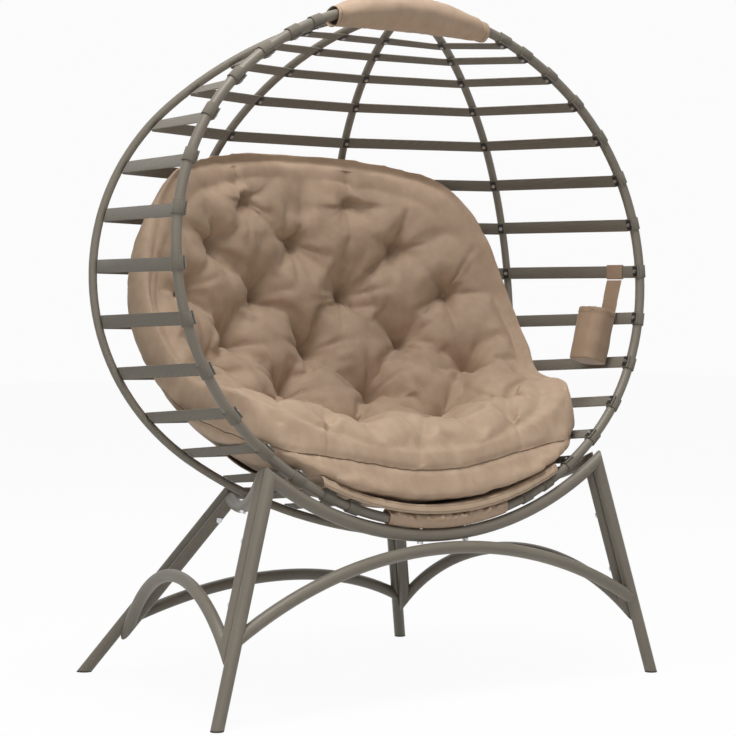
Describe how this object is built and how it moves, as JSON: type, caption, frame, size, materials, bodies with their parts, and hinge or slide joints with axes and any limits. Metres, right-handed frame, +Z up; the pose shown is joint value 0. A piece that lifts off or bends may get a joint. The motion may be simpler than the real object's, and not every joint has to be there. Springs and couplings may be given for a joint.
{
  "type": "round lounge chair",
  "caption": "Ball-shaped lounge chair: steel hoop and ribs laced with webbing straps, tufted papasan cushion, bottle pocket, four-legged welded base.",
  "frame": {"origin": "on the floor under the middle of the four feet", "axes": "+Z up, the open front faces -Y, +X to the right of a person looking at the front"},
  "size_m": [1.1439, 0.696, 1.3379],
  "materials": {
    "painted_tube": "satin powder coat, warm grey",
    "webbing": "flat woven webbing, warm grey",
    "clip_black": "black clip plate",
    "bright_screw": "bright zinc plated",
    "foot_plastic": "moulded dark plastic",
    "joiner_plastic": "moulded, hidden in the tube",
    "cushion_fabric": "woven polyester, warm tan",
    "panel_fabric": "woven polyester, hemmed",
    "sleeve_fabric": "woven polyester, sewn sleeve",
    "pocket_fabric": "woven polyester, sewn pouch"
  },
  "bodies": {
    "chair": {"bottom_hub": "painted_tube", "bottom_sleeve": "sleeve_fabric", "clip_screws": "bright_screw", "cushion": "cushion_fabric", "foot_plugs": "foot_plastic", "frame_bolts": "bright_screw", "front_arch": "painted_tube", "front_left_leg": "painted_tube", "front_left_post": "painted_tube", "front_right_leg": "painted_tube", "front_right_post": "painted_tube", "front_saddle": "painted_tube", "hub_screws": "bright_screw", "left_arch": "painted_tube", "left_saddle": "painted_tube", "pocket_loop": "pocket_fabric", "rear_arch": "painted_tube", "rear_left_leg": "painted_tube", "rear_left_post": "painted_tube", "rear_right_leg": "painted_tube", "rear_right_post": "painted_tube", "rear_saddle": "painted_tube", "rib_back_left": "painted_tube", "rib_back_right": "painted_tube", "rib_side_left": "painted_tube", "rib_side_right": "painted_tube", "right_arch": "painted_tube", "right_saddle": "painted_tube", "ring_joiners": "joiner_plastic", "ring_left": "painted_tube", "ring_right": "painted_tube", "seat_panel": "panel_fabric", "strap_01": "webbing", "strap_02": "webbing", "strap_03": "webbing", "strap_04": "webbing", "strap_05": "webbing", "strap_06": "webbing", "strap_07": "webbing", "strap_08": "webbing", "strap_09": "webbing", "strap_10": "webbing", "strap_11": "webbing", "strap_12": "webbing", "strap_13": "webbing", "strap_14": "webbing", "strap_15": "webbing", "strap_clips": "clip_black", "top_hub": "painted_tube", "top_sleeve": "sleeve_fabric"},
    "pocket": {"bottle_pocket": "pocket_fabric"}
  },
  "joints": [
    {"name": "pocket_swing", "type": "hinge", "parent": "chair", "child": "pocket", "pos_m": [0.54078, -0.20456, 0.79546], "axis": [-0.1009, 0.9949, 0.0014], "range_deg": [0, 35]}
  ]
}
